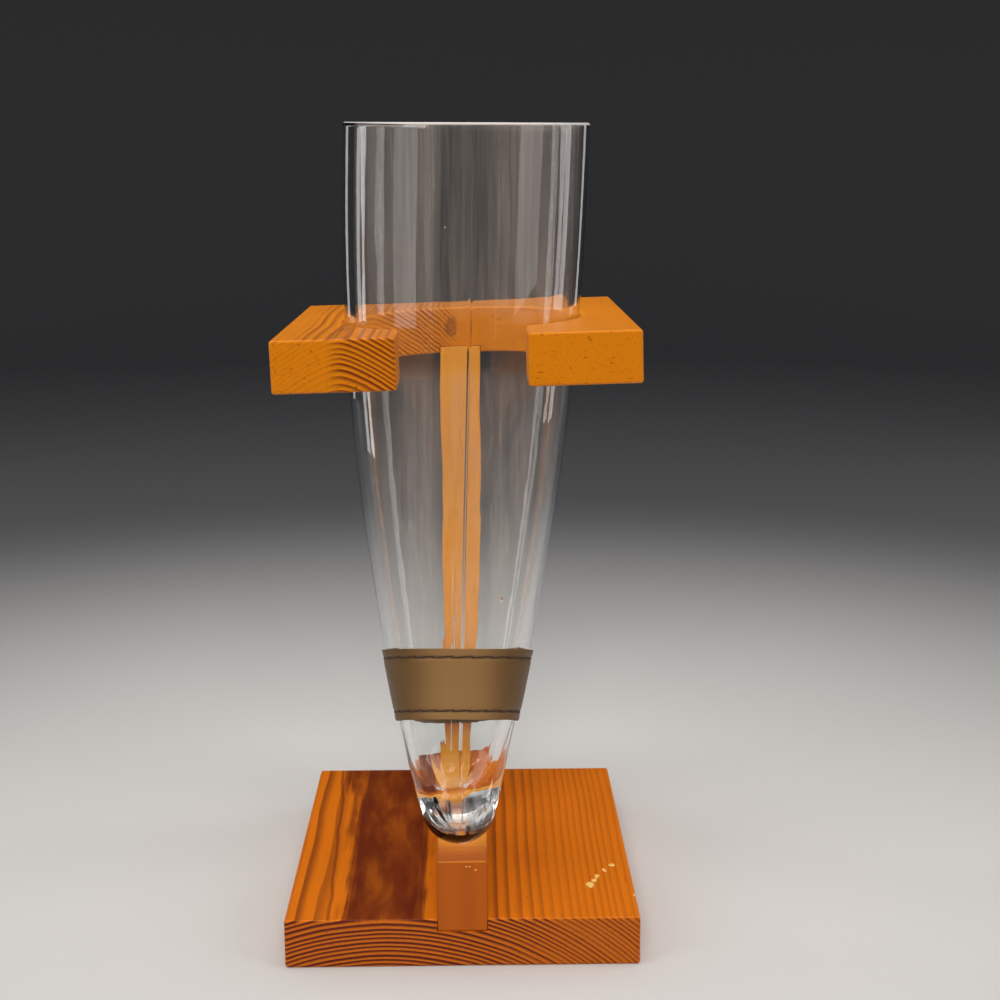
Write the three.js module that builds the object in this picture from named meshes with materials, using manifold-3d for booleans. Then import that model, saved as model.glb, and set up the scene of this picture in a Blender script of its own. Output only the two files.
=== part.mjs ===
// A glass drinking horn with a stitched leather band, standing in a pine stand.
// Millimetres, +Z up. The front of the object faces -Y.
// The origin is the middle of the base board's underside.

import * as THREE from "three";
import { mergeVertices } from "three/addons/utils/BufferGeometryUtils.js";
import Module from "manifold-3d";

const wasm = await Module();
wasm.setup();

// Stand, all of it sawn from one planed pine board
const boardThickness = 20;
const easedEdge = 0.7;
const baseWidth = 140;
const baseDepth = 160;
const grooveDepth = 5.2;
const footHeight = 24.3;
const postDepth = 33;
const cornerRadius = 25;

// Yoke, the board that the horn hangs in
const yokeWidth = 138;
const yokeDepth = 152;
const yokeHeight = 208;
const yokeRoll = THREE.MathUtils.degToRad(1.5);
const slotWidth = 49;
const housingDepth = 3;
const holeClearance = 0.4;

// Glass horn
const mouthRadius = 49.9;
const mouthTilt = THREE.MathUtils.degToRad(-1.5);
const mouthCut = THREE.MathUtils.degToRad(1.7);
const tipRadius = 14.9;
const tipTilt = THREE.MathUtils.degToRad(60);
const tipFlare = THREE.MathUtils.degToRad(13.6);
const bendTilt = THREE.MathUtils.degToRad(20.8);
const tipArcLength = 34;
const bodyArcLength = 246.4;
const tipFullness = 150;
const mouthFullness = 64;
const glassWall = 4.5;
const hollowStart = 3;
const hollowRound = 18;
const lipRound = 1.2;
const tipToPost = 107.8;
const tipOffset = -1.2;
const hornLean = THREE.MathUtils.degToRad(2);
const hornTurn = THREE.MathUtils.degToRad(4);

// Leather band
const bandStart = 36.3;
const bandHeight = 28.8;
const leatherThickness = 1.2;
const leatherRound = 0.4;
const stitchInset = 3.5;
const stitchChannelWidth = 2;
const stitchChannelDepth = 0.6;
const seamGap = 0.6;

// Sewing thread
const threadRadius = 0.25;
const stitchCount = 24;
const stitchWave = 0.4;
const laceCount = 9;
const laceReach = 2.2;
const laceMargin = 2.5;

// Screws up into the upright, and dowels from the post into the yoke
const screwHeadRadius = 4;
const screwShankRadius = 2;
const screwLength = 35;
const screwHeadHeight = 2.4;
const screwPointLength = 5;
const screwRecess = 0.6;
const screwInset = 35;
const crossLength = 4.4;
const crossWidth = 0.9;
const crossDepth = 1.6;
const dowelRadius = 4;
const dowelLength = 30;
const dowelInYoke = 11;
const dowelInset = 8.5;

// Clearances
const restGap = 0.3;
const glueLine = 0.3;
const fitGap = 0.3;
const cutOverrun = 5;

// Fineness of the round shapes
const roundSides = 44;
const holeSides = 48;
const cornerSides = 12;
const outlineSteps = 15;
const tipSteps = 5;
const lipSteps = 2;
const stepsPerStitch = 4;
const stepsPerLace = 4;
const threadSides = 4;
const smallSides = 16;

// Levels and places that several pieces share
const grooveFloor = boardThickness - grooveDepth;
const footTop = boardThickness + footHeight;
const baseFront = -baseDepth / 2;
const baseBack = baseDepth / 2;
const postFront = baseBack - postDepth;
const postMiddle = (postFront + baseBack) / 2;
const yokeUnderside = boardThickness + yokeHeight;
const yokeBack = baseBack;
const yokeFront = yokeBack - yokeDepth;

const pine = new THREE.MeshStandardMaterial({ color: 0xc0651c, roughness: 0.35, metalness: 0 });
const clearGlass = new THREE.MeshStandardMaterial({
  color: 0xe8eeee,
  roughness: 0.05,
  metalness: 0,
  transparent: true,
  opacity: 0.35,
});
const leather = new THREE.MeshStandardMaterial({ color: 0x6b4f2c, roughness: 0.45, metalness: 0 });
const thread = new THREE.MeshStandardMaterial({ color: 0x2a1a10, roughness: 0.8, metalness: 0 });
const steel = new THREE.MeshStandardMaterial({ color: 0xb9b6ae, roughness: 0.35, metalness: 1 });
const beech = new THREE.MeshStandardMaterial({ color: 0xd9b988, roughness: 0.7, metalness: 0 });

// A closed geometry as a solid that can be joined and cut
function toSolid(geometry) {
  const bare = geometry.clone();
  bare.deleteAttribute("normal");
  bare.deleteAttribute("uv");
  const merged = mergeVertices(bare, 1e-4);
  const triVerts = new Uint32Array(merged.index.array);
  const vertProperties = merged.attributes.position.array;
  return new wasm.Manifold(new wasm.Mesh({ numProp: 3, vertProperties, triVerts }));
}

function toGeometry(solid) {
  const mesh = solid.getMesh();
  const geometry = new THREE.BufferGeometry();
  geometry.setAttribute("position", new THREE.BufferAttribute(mesh.vertProperties, 3));
  geometry.setIndex(new THREE.BufferAttribute(mesh.triVerts, 1));
  geometry.computeVertexNormals();
  return geometry;
}

function cutAway(geometry, cutters) {
  let solid = toSolid(geometry);
  for (const cutter of cutters) {
    solid = solid.subtract(toSolid(cutter));
  }
  return toGeometry(solid);
}

// A box given by its lowest and highest corners
function boxBetween(low, high) {
  const [x0, y0, z0] = low;
  const [x1, y1, z1] = high;
  const box = new THREE.BoxGeometry(x1 - x0, y1 - y0, z1 - z0);
  return box.translate((x0 + x1) / 2, (y0 + y1) / 2, (z0 + z1) / 2);
}

// A round bar along Z
function roundBar(radius, bottom, top) {
  const bar = new THREE.CylinderGeometry(radius, radius, top - bottom, smallSides);
  return bar.rotateX(Math.PI / 2).translate(0, 0, (bottom + top) / 2);
}

// A board cut to a shape, with its edges eased. An arc in a shape gets two sides for each
// curve segment.
function easedBoard(shape, arcSides) {
  return new THREE.ExtrudeGeometry(shape, {
    depth: boardThickness - 2 * easedEdge,
    bevelEnabled: true,
    bevelThickness: easedEdge,
    bevelSize: easedEdge,
    bevelOffset: -easedEdge,
    bevelSegments: 1,
    curveSegments: arcSides / 2,
  }).translate(0, 0, easedEdge);
}

// The centreline of the horn, in the horn's own frame, where the tip ball's centre is the
// origin. Distance runs along the line from there towards the mouth. Tilt is measured
// from the vertical, and the line bends only forwards and backwards.
function alongArc(start, endTilt, arcLength, distance) {
  const turn = (endTilt - start.tilt) / arcLength;
  const tilt = start.tilt + turn * distance;
  return {
    y: start.y + (Math.cos(start.tilt) - Math.cos(tilt)) / turn,
    z: start.z + (Math.sin(tilt) - Math.sin(start.tilt)) / turn,
    tilt,
  };
}

const tipCentre = { y: 0, z: 0, tilt: tipTilt };
const bend = alongArc(tipCentre, bendTilt, tipArcLength, tipArcLength);
const hornLength = tipArcLength + bodyArcLength;

function centreline(distance) {
  if (distance < 0) {
    return { y: distance * Math.sin(tipTilt), z: distance * Math.cos(tipTilt), tilt: tipTilt };
  }
  if (distance < tipArcLength) {
    return alongArc(tipCentre, bendTilt, tipArcLength, distance);
  }
  return alongArc(bend, mouthTilt, bodyArcLength, distance - tipArcLength);
}

// The horn's outside, as a curve of distance along the line against radius. It leaves the
// tip ball at the flare angle and reaches the mouth parallel to the line.
const outlineStart = new THREE.Vector2(-tipRadius * Math.sin(tipFlare), tipRadius * Math.cos(tipFlare));
const outline = new THREE.CubicBezierCurve(
  outlineStart,
  new THREE.Vector2(
    outlineStart.x + tipFullness * Math.cos(tipFlare),
    outlineStart.y + tipFullness * Math.sin(tipFlare),
  ),
  new THREE.Vector2(hornLength - mouthFullness, mouthRadius),
  new THREE.Vector2(hornLength, mouthRadius),
);

function outerRadius(distance) {
  let low = 0;
  let high = 1;
  for (let pass = 0; pass < 40; pass += 1) {
    const middle = (low + high) / 2;
    if (outline.getPoint(middle).x < distance) {
      low = middle;
    } else {
      high = middle;
    }
  }
  return outline.getPoint(low).y;
}

// A point at a distance along the centreline, a radius away from it and round by an angle.
// The angle starts at the right and turns towards the back.
function hornPoint(distance, radius, angle) {
  const place = centreline(distance);
  const side = radius * Math.cos(angle);
  const back = radius * Math.sin(angle);
  return new THREE.Vector3(
    side,
    place.y + back * Math.cos(place.tilt),
    place.z - back * Math.sin(place.tilt),
  );
}

// A body swept round the centreline: a profile of rings that starts and ends on the line.
// Each ring has its distance, its radius and a slope, which carries its right side further
// along.
function sweptBody(profile) {
  const positions = [];
  const indices = [];
  const rings = [];
  for (const { distance, radius, slope } of profile) {
    const ring = [];
    const count = radius === 0 ? 1 : roundSides;
    for (let side = 0; side < count; side += 1) {
      const angle = (side / roundSides) * 2 * Math.PI;
      const along = distance + radius * Math.cos(angle) * slope;
      const point = hornPoint(along, radius, angle);
      ring.push(positions.length / 3);
      positions.push(point.x, point.y, point.z);
    }
    rings.push(ring);
  }
  for (let row = 0; row + 1 < rings.length; row += 1) {
    const lower = rings[row];
    const upper = rings[row + 1];
    for (let side = 0; side < roundSides; side += 1) {
      const next = (side + 1) % roundSides;
      if (lower.length > 1) {
        indices.push(lower[side], lower[next], upper[upper.length > 1 ? next : 0]);
      }
      if (upper.length > 1) {
        indices.push(lower[lower.length > 1 ? side : 0], upper[next], upper[side]);
      }
    }
  }
  return indexedGeometry(positions, indices);
}

function indexedGeometry(positions, indices) {
  const geometry = new THREE.BufferGeometry();
  geometry.setAttribute("position", new THREE.Float32BufferAttribute(positions, 3));
  geometry.setIndex(indices);
  geometry.computeVertexNormals();
  return geometry;
}

// The horn is blown hollow down to its solid tip. Its profile runs over the ball tip, up the
// outside, over the melted lip, down the inside and to the inside's rounded end. The mouth
// is cut nearly level, although the horn leans.
function hornProfile() {
  const profile = [];
  const inside = [];
  const quarter = Math.PI / 2 - tipFlare;
  for (let step = 0; step < tipSteps; step += 1) {
    const angle = (step / tipSteps) * quarter;
    const distance = -tipRadius * Math.cos(angle);
    profile.push({ distance, radius: tipRadius * Math.sin(angle), slope: 0 });
  }
  const roundEnd = hollowStart + hollowRound;
  for (let step = 0; step <= tipSteps; step += 1) {
    const angle = (step / tipSteps) * (Math.PI / 2);
    const distance = roundEnd - hollowRound * Math.cos(angle);
    const radius = (outerRadius(distance) - glassWall) * Math.sin(angle);
    inside.push({ distance, radius, slope: 0 });
  }
  for (let step = 0; step < outlineSteps; step += 1) {
    const point = outline.getPoint(step / outlineSteps);
    profile.push({ distance: point.x, radius: point.y, slope: 0 });
    if (point.x > roundEnd) {
      inside.push({ distance: point.x, radius: point.y - glassWall, slope: 0 });
    }
  }
  for (let step = 0; step <= lipSteps; step += 1) {
    const angle = (step / lipSteps) * (Math.PI / 2);
    const distance = hornLength - lipRound * (1 - Math.sin(angle));
    const roundedOff = lipRound * (1 - Math.cos(angle));
    const slope = Math.tan(mouthCut);
    profile.push({ distance, radius: mouthRadius - roundedOff, slope });
    inside.push({ distance, radius: mouthRadius - glassWall + roundedOff, slope });
  }
  return [...profile, ...inside.reverse()];
}

// The strip's section, as [distance, height over the glass]: flat against the glass, with
// rounded edges and a shallow channel under each row of stitches
const bandEnd = bandStart + bandHeight;
const leatherFace = fitGap + leatherThickness;
const channelFloor = leatherFace - stitchChannelDepth;
const lowerStitchRow = bandStart + stitchInset;
const upperStitchRow = bandEnd - stitchInset;

function bandSection() {
  const halfChannel = stitchChannelWidth / 2;
  const channel = (row) => [
    [row + halfChannel + stitchWave / 2, leatherFace],
    [row + halfChannel, channelFloor],
    [row - halfChannel, channelFloor],
    [row - halfChannel - stitchWave / 2, leatherFace],
  ];
  const inner = [0, 0.25, 0.5, 0.75, 1].map((share) => [bandStart + share * bandHeight, fitGap]);
  const outer = [0.7, 0.5, 0.3].map((share) => [bandStart + share * bandHeight, leatherFace]);
  return [
    ...inner,
    [bandEnd, leatherFace - leatherRound],
    [bandEnd - leatherRound, leatherFace],
    ...channel(upperStitchRow),
    ...outer,
    ...channel(lowerStitchRow),
    [bandStart + leatherRound, leatherFace],
    [bandStart, leatherFace - leatherRound],
  ];
}

// The strip goes once round the horn and its two ends meet at the back
function makeBand() {
  const section = bandSection();
  const outline2d = section.map(([distance, height]) => new THREE.Vector2(distance, height));
  const capTriangles = THREE.ShapeUtils.triangulateShape(outline2d, []);
  const halfSeam = seamGap / 2 / outerRadius((bandStart + bandEnd) / 2);
  const positions = [];
  const indices = [];
  for (let side = 0; side <= roundSides; side += 1) {
    const angle = Math.PI / 2 + halfSeam + (side / roundSides) * 2 * (Math.PI - halfSeam);
    for (const [distance, height] of section) {
      const point = hornPoint(distance, outerRadius(distance) + height, angle);
      positions.push(point.x, point.y, point.z);
    }
  }
  const count = section.length;
  for (let side = 0; side < roundSides; side += 1) {
    for (let edge = 0; edge < count; edge += 1) {
      const next = (edge + 1) % count;
      const here = side * count;
      const there = here + count;
      indices.push(here + edge, here + next, there + edge);
      indices.push(here + next, there + next, there + edge);
    }
  }
  const last = roundSides * count;
  for (const [a, b, c] of capTriangles) {
    indices.push(a, c, b);
    indices.push(last + a, last + b, last + c);
  }
  return indexedGeometry(positions, indices);
}

// A row of stitches: one thread that waves from side to side in its channel
function makeStitchRow(row) {
  const points = [];
  const steps = stitchCount * stepsPerStitch;
  const height = channelFloor + fitGap + threadRadius;
  for (let step = 0; step < steps; step += 1) {
    const angle = (step / steps) * 2 * Math.PI;
    const distance = row + stitchWave * Math.sin(angle * stitchCount);
    points.push(hornPoint(distance, outerRadius(distance) + height, angle));
  }
  const path = new THREE.CatmullRomCurve3(points, true);
  return toGeometry(toSolid(new THREE.TubeGeometry(path, steps, threadRadius, threadSides, true)));
}

// The lacing that pulls the strip's two ends together, between the rows of stitches
function makeLacing() {
  const points = [];
  const lowest = lowerStitchRow + laceMargin;
  const highest = upperStitchRow - laceMargin;
  const height = leatherFace + fitGap + threadRadius;
  for (let turn = 0; turn <= laceCount; turn += 1) {
    const distance = lowest + (turn / laceCount) * (highest - lowest);
    const radius = outerRadius(distance) + height;
    const side = turn % 2 === 0 ? 1 : -1;
    points.push(hornPoint(distance, radius, Math.PI / 2 + (side * laceReach) / radius));
  }
  const section = new THREE.Shape();
  section.absarc(0, 0, threadRadius, 0, 2 * Math.PI);
  return new THREE.ExtrudeGeometry(section, {
    extrudePath: new THREE.CatmullRomCurve3(points, false, "catmullrom", 0.3),
    steps: laceCount * stepsPerLace,
    curveSegments: threadSides / 2,
    bevelEnabled: false,
  });
}

// The horn stands with its tip on the foot. It leans a little to the right, and its bend is
// turned a little from straight ahead.
const horn = new THREE.Group();
horn.position.set(tipOffset, postFront - tipToPost, footTop + restGap + tipRadius);
horn.rotation.set(0, hornLean, hornTurn, "ZYX");
horn.updateMatrix();

// The yoke was fixed a little out of level, with its left side low
const yoke = new THREE.Group();
yoke.position.set(0, 0, yokeUnderside);
yoke.rotation.y = -yokeRoll;
yoke.updateMatrix();

// Points on the horn's outside, all round, at a height in the yoke's own frame
const hornIntoYoke = yoke.matrix.clone().invert().multiply(horn.matrix);

function hornSection(height) {
  const points = [];
  for (let side = 0; side < roundSides; side += 1) {
    const angle = (side / roundSides) * 2 * Math.PI;
    const outside = (distance) =>
      hornPoint(distance, outerRadius(distance), angle).applyMatrix4(hornIntoYoke);
    let low = tipArcLength;
    let high = hornLength;
    for (let pass = 0; pass < 30; pass += 1) {
      const middle = (low + high) / 2;
      if (outside(middle).z < height) {
        low = middle;
      } else {
        high = middle;
      }
    }
    points.push(outside(low));
  }
  return points;
}

// The hole goes round the horn at both faces of the yoke, and opens forwards through the slot
function yokeOutline() {
  const halfSlot = slotWidth / 2;
  const passing = [...hornSection(0), ...hornSection(boardThickness)];
  const across = passing.map((point) => point.x);
  const deep = passing.map((point) => point.y);
  const seatX = (Math.min(...across) + Math.max(...across)) / 2;
  const seatY = (Math.min(...deep) + Math.max(...deep)) / 2;
  const beside = passing.filter(({ x, y }) => y > seatY || Math.abs(x - seatX) > halfSlot);
  const reach = beside.map(({ x, y }) => Math.hypot(x - seatX, y - seatY));
  const holeRadius = Math.max(...reach) + holeClearance;
  const slotAngle = Math.asin(halfSlot / holeRadius);
  const firstAngle = -Math.PI / 2 - slotAngle;
  const lastAngle = -Math.PI / 2 + slotAngle - 2 * Math.PI;
  const shape = new THREE.Shape();
  shape.moveTo(-yokeWidth / 2, yokeFront);
  shape.lineTo(seatX - halfSlot, yokeFront);
  shape.absarc(seatX, seatY, holeRadius, firstAngle, lastAngle, true);
  shape.lineTo(seatX + halfSlot, yokeFront);
  shape.lineTo(yokeWidth / 2, yokeFront);
  shape.lineTo(yokeWidth / 2, yokeBack);
  shape.lineTo(-yokeWidth / 2, yokeBack);
  return shape;
}

const dowelPlaces = [postFront + dowelInset, yokeBack - dowelInset];

// The hole for one dowel, through the joint face, in the yoke's own frame
function dowelHole(y) {
  const top = housingDepth + dowelInYoke + fitGap;
  const bottom = top - dowelLength - 2 * fitGap;
  return roundBar(dowelRadius + fitGap, bottom, top).translate(0, y, 0);
}

function makeYokeBoard() {
  const board = easedBoard(yokeOutline(), holeSides);
  const halfHousing = boardThickness / 2 + fitGap;
  const housing = boxBetween(
    [-halfHousing, postFront - fitGap, -cutOverrun],
    [halfHousing, yokeBack + cutOverrun, housingDepth],
  );
  return cutAway(board, [housing, ...dowelPlaces.map(dowelHole)]);
}

function makeDowel(y) {
  const top = housingDepth + dowelInYoke;
  return roundBar(dowelRadius, top - dowelLength, top).translate(0, y, 0);
}

// The foot and the post are one board, sawn to an L that is seen from the side
function makeUpright() {
  const postTop = yokeUnderside + boardThickness;
  const shape = new THREE.Shape();
  shape.moveTo(baseFront, grooveFloor);
  shape.lineTo(baseBack, grooveFloor);
  shape.lineTo(baseBack, postTop);
  shape.lineTo(postFront, postTop);
  shape.lineTo(postFront, footTop + cornerRadius);
  shape.absarc(postFront - cornerRadius, footTop + cornerRadius, cornerRadius, 0, -Math.PI / 2, true);
  shape.lineTo(baseFront, footTop);
  const board = easedBoard(shape, cornerSides).translate(0, 0, -boardThickness / 2);
  const sideways = new THREE.Matrix4().makeBasis(
    new THREE.Vector3(0, 1, 0),
    new THREE.Vector3(0, 0, 1),
    new THREE.Vector3(1, 0, 0),
  );
  board.applyMatrix4(sideways);
  const aboveJoint = boxBetween(
    [-yokeWidth / 2, yokeFront, housingDepth - glueLine],
    [yokeWidth / 2, yokeBack + cutOverrun, 3 * boardThickness],
  );
  const inYoke = [aboveJoint, ...dowelPlaces.map(dowelHole)];
  const cutters = inYoke.map((cutter) => cutter.applyMatrix4(yoke.matrix));
  return cutAway(board, [...cutters, ...screwPlaces.map(screwHole)]);
}

const screwPlaces = [baseFront + screwInset, postMiddle];

// The way for one screw, from the base board's underside up into the upright
function screwHole(y) {
  const headBottom = screwRecess + screwHeadHeight;
  const wide = screwHeadRadius + fitGap;
  const narrow = screwShankRadius + fitGap;
  const top = screwRecess + screwLength + fitGap;
  const profile = [
    new THREE.Vector2(0, -cutOverrun),
    new THREE.Vector2(wide, -cutOverrun),
    new THREE.Vector2(wide, screwRecess + fitGap / 2),
    new THREE.Vector2(narrow, headBottom + fitGap / 2),
    new THREE.Vector2(narrow, top),
    new THREE.Vector2(0, top),
  ];
  return new THREE.LatheGeometry(profile, smallSides).rotateX(Math.PI / 2).translate(0, y, 0);
}

function makeScrew(y) {
  const headBottom = screwRecess + screwHeadHeight;
  const point = screwRecess + screwLength;
  const profile = [
    new THREE.Vector2(0, screwRecess),
    new THREE.Vector2(screwHeadRadius, screwRecess),
    new THREE.Vector2(screwShankRadius, headBottom),
    new THREE.Vector2(screwShankRadius, point - screwPointLength),
    new THREE.Vector2(0, point),
  ];
  const screw = new THREE.LatheGeometry(profile, smallSides).rotateX(Math.PI / 2);
  const reach = crossLength / 2;
  const half = crossWidth / 2;
  const crossTop = screwRecess + crossDepth;
  const along = boxBetween([-reach, -half, -cutOverrun], [reach, half, crossTop]);
  const across = boxBetween([-half, -reach, -cutOverrun], [half, reach, crossTop]);
  return cutAway(screw, [along, across]).translate(0, y, 0);
}

function makeBaseBoard() {
  const shape = new THREE.Shape();
  shape.moveTo(-baseWidth / 2, baseFront);
  shape.lineTo(baseWidth / 2, baseFront);
  shape.lineTo(baseWidth / 2, baseBack);
  shape.lineTo(-baseWidth / 2, baseBack);
  const groove = boxBetween(
    [-boardThickness / 2, baseFront - cutOverrun, grooveFloor],
    [boardThickness / 2, baseBack + cutOverrun, boardThickness + cutOverrun],
  );
  return cutAway(easedBoard(shape, cornerSides), [groove, ...screwPlaces.map(screwHole)]);
}

function named(name, geometry, material) {
  const mesh = new THREE.Mesh(geometry, material);
  mesh.name = name;
  return mesh;
}

const part = new THREE.Group();
part.add(named("base_board", makeBaseBoard(), pine));
part.add(named("upright", makeUpright(), pine));
part.add(named("base_screw_front", makeScrew(screwPlaces[0]), steel));
part.add(named("base_screw_rear", makeScrew(screwPlaces[1]), steel));

yoke.add(named("yoke_board", makeYokeBoard(), pine));
yoke.add(named("yoke_dowel_front", makeDowel(dowelPlaces[0]), beech));
yoke.add(named("yoke_dowel_rear", makeDowel(dowelPlaces[1]), beech));
part.add(yoke);

horn.add(named("horn_glass", sweptBody(hornProfile()), clearGlass));
horn.add(named("leather_band", makeBand(), leather));
horn.add(named("band_thread_top", makeStitchRow(upperStitchRow), thread));
horn.add(named("band_thread_bottom", makeStitchRow(lowerStitchRow), thread));
horn.add(named("band_thread_seam", makeLacing(), thread));
part.add(horn);

export default part;
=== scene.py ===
# A glass drinking horn with a stitched leather band, standing in a varnished pine stand.
# Metres, +Z up, the front faces -Y, as in the frame.
import math

import bpy
import numpy as np
from mathutils import Matrix, Vector, noise


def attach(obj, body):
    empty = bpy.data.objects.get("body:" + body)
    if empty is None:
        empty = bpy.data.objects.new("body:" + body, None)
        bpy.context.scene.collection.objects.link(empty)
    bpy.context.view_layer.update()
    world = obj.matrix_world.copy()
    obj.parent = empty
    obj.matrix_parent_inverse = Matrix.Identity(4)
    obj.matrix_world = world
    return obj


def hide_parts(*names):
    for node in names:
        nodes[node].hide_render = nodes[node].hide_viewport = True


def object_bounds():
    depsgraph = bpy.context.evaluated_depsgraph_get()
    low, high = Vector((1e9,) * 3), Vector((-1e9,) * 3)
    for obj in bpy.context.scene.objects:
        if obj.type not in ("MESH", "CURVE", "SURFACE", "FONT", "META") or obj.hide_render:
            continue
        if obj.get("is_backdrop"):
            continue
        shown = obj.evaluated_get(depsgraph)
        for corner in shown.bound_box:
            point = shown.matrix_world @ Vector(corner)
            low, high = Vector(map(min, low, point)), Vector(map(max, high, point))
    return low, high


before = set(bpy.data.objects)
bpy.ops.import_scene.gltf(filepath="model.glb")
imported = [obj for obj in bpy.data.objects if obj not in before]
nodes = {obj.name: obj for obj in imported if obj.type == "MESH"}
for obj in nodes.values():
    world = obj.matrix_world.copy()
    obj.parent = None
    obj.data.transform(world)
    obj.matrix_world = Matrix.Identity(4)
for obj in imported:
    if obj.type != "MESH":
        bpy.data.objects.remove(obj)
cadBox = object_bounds()
print("frame loaded,", len(nodes), "nodes")


# helpers for node trees and meshes

def operator(operation, swapped=False):
    def apply(self, value):
        values = (value, self) if swapped else (self, value)
        return self.graph.maths(operation, *values)
    return apply


class Wire:
    # one output socket; arithmetic on it adds Math nodes
    __add__ = __radd__ = operator("ADD")
    __sub__ = operator("SUBTRACT")
    __rsub__ = operator("SUBTRACT", swapped=True)
    __mul__ = __rmul__ = operator("MULTIPLY")
    __truediv__ = operator("DIVIDE")

    def __init__(self, graph, socket):
        self.graph = graph
        self.socket = socket

    def __abs__(self):
        return self.graph.maths("ABSOLUTE", self)

    def other(self, name):  # another output of the same node
        return Wire(self.graph, self.socket.node.outputs[name])


class Graph:
    prefix = "GeometryNode"  # of a kind that is given without its own

    def __init__(self, tree):
        self.tree = tree

    def node(self, kind, settings=None, sockets=None, out=0):
        made = self.tree.nodes.new(kind if "Node" in kind else self.prefix + kind)
        for key, value in (settings or {}).items():
            setattr(made, key, value)
        for key, value in (sockets or {}).items():
            if isinstance(value, Wire):
                self.tree.links.new(value.socket, made.inputs[key])
            else:
                made.inputs[key].default_value = value
        return Wire(self, made.outputs[out]) if made.outputs else made

    def maths(self, operation, *values):
        return self.node("ShaderNodeMath", {"operation": operation}, dict(enumerate(values)))

    def vector(self, operation, *values):
        settings = {"operation": operation}
        return self.node("ShaderNodeVectorMath", settings, dict(enumerate(values)))

    def scaled(self, vector, size):
        return self.node("ShaderNodeVectorMath", {"operation": "SCALE"}, {0: vector, "Scale": size})

    def join(self, x, y, z):
        return self.node("ShaderNodeCombineXYZ", None, {0: x, 1: y, 2: z})

    def split(self, vector):
        x = self.node("ShaderNodeSeparateXYZ", None, {0: vector})
        return x, x.other("Y"), x.other("Z")

    def smooth(self, value, low, high):  # 0 below low, 1 above high
        sockets = {"Value": value, "From Min": low, "From Max": high}
        return self.node("ShaderNodeMapRange", {"interpolation_type": "SMOOTHSTEP"}, sockets)

    def noise(self, vector, scale=1.0, detail=2.0, roughness=0.5):
        sockets = {"Vector": vector, "Scale": scale, "Detail": detail, "Roughness": roughness}
        return self.node("ShaderNodeTexNoise", None, sockets)

    def cells(self, parts, scales, detail=2.0, roughness=0.5):
        # noise with so many cells a metre along each part of a place
        spot = self.join(*(part * scale for part, scale in zip(parts, scales)))
        return self.noise(spot, 1.0, detail, roughness)


class Finish(Graph):
    # a material under construction
    prefix = "ShaderNode"

    def __init__(self, name):
        self.material = bpy.data.materials.new(name)
        self.material.use_nodes = True
        super().__init__(self.material.node_tree)
        self.tree.nodes.clear()

    def place(self):
        return self.node("TexCoord", out="Object")

    def blend(self, factor, first, second, how="MIX"):
        settings = {"data_type": "RGBA", "blend_type": how}
        return self.node("Mix", settings, {0: factor, 6: first, 7: second}, out=2)

    def reach(self, parts, place, squeeze):
        # the distance from a place, with each part's square squeezed
        gaps = [part - middle for part, middle in zip(parts, place)]
        squares = [gap * gap * amount for gap, amount in zip(gaps, squeeze)]
        return self.maths("SQRT", squares[0] + squares[1])

    def bump(self, height, distance, strength):
        sockets = {"Height": height, "Distance": distance, "Strength": strength}
        return self.node("Bump", None, sockets)

    def shader(self, **sockets):
        named = {key.replace("_", " "): value for key, value in sockets.items()}
        return self.node("BsdfPrincipled", None, named)

    def closeWith(self, shader):
        self.node("OutputMaterial", None, {"Surface": shader})
        return self.material

    def close(self, **sockets):
        return self.closeWith(self.shader(**sockets))


def growTree(name, inputs):
    # a Geometry Nodes tree with inputs listed by kind; returns its graph and their wires
    tree = bpy.data.node_groups.new(name, "GeometryNodeTree")
    for side in ("INPUT", "OUTPUT"):
        tree.interface.new_socket("Geometry", in_out=side, socket_type="NodeSocketGeometry")
    for kind, labels in {**inputs, "Material": ("material",)}.items():
        for label in labels:
            tree.interface.new_socket(label, in_out="INPUT", socket_type="NodeSocket" + kind)
    graph = Graph(tree)
    source = tree.nodes.new("NodeGroupInput")
    wires = {socket.name: Wire(graph, socket) for socket in source.outputs if socket.name}
    return graph, wires


def endTree(graph, geometry, material):
    real = graph.node("RealizeInstances", None, {0: geometry})
    smooth = graph.node("SetShadeSmooth", None, {0: real})
    dressed = graph.node("SetMaterial", None, {"Geometry": smooth, "Material": material})
    end = graph.tree.nodes.new("NodeGroupOutput")
    graph.tree.links.new(dressed.socket, end.inputs[0])
    return graph


def grown(piece, graph, values):
    # runs a tree on a piece and leaves the result as its plain mesh
    modifier = piece.modifiers.new("growth", "NODES")
    modifier.node_group = graph.tree
    for item in graph.tree.interface.items_tree:
        if item.name in values:
            modifier[item.identifier] = values[item.name]
    return settled(piece)


def settled(piece):
    # the evaluated mesh takes the place of the piece's mesh and modifiers
    depsgraph = bpy.context.evaluated_depsgraph_get()
    mesh = bpy.data.meshes.new_from_object(piece.evaluated_get(depsgraph), depsgraph=depsgraph)
    piece.modifiers.clear()
    piece.data = mesh
    mesh.name = piece.name
    return piece


def linked(name, data):
    made = bpy.data.objects.new(name, data)
    bpy.context.scene.collection.objects.link(made)
    return made


def newPiece(name, points, faces=()):
    mesh = bpy.data.meshes.new(name)
    mesh.from_pydata(points, [], faces)
    mesh.validate()
    return linked(name, mesh)


def attribute(piece, name, values):
    flat = np.asarray(values, dtype=float)
    kind, field = ("FLOAT", "value") if flat.ndim == 1 else ("FLOAT_VECTOR", "vector")
    piece.data.attributes.new(name, kind, "POINT").data.foreach_set(field, flat.ravel())


def turnedPoints(profile, sides, y=0):
    # rings round a line along Z, from (radius, height) pairs
    angles = [2 * math.pi * side / sides for side in range(sides)]
    return [
        (radius * math.cos(angle), y + radius * math.sin(angle), height)
        for radius, height in profile
        for angle in angles
    ]


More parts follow.
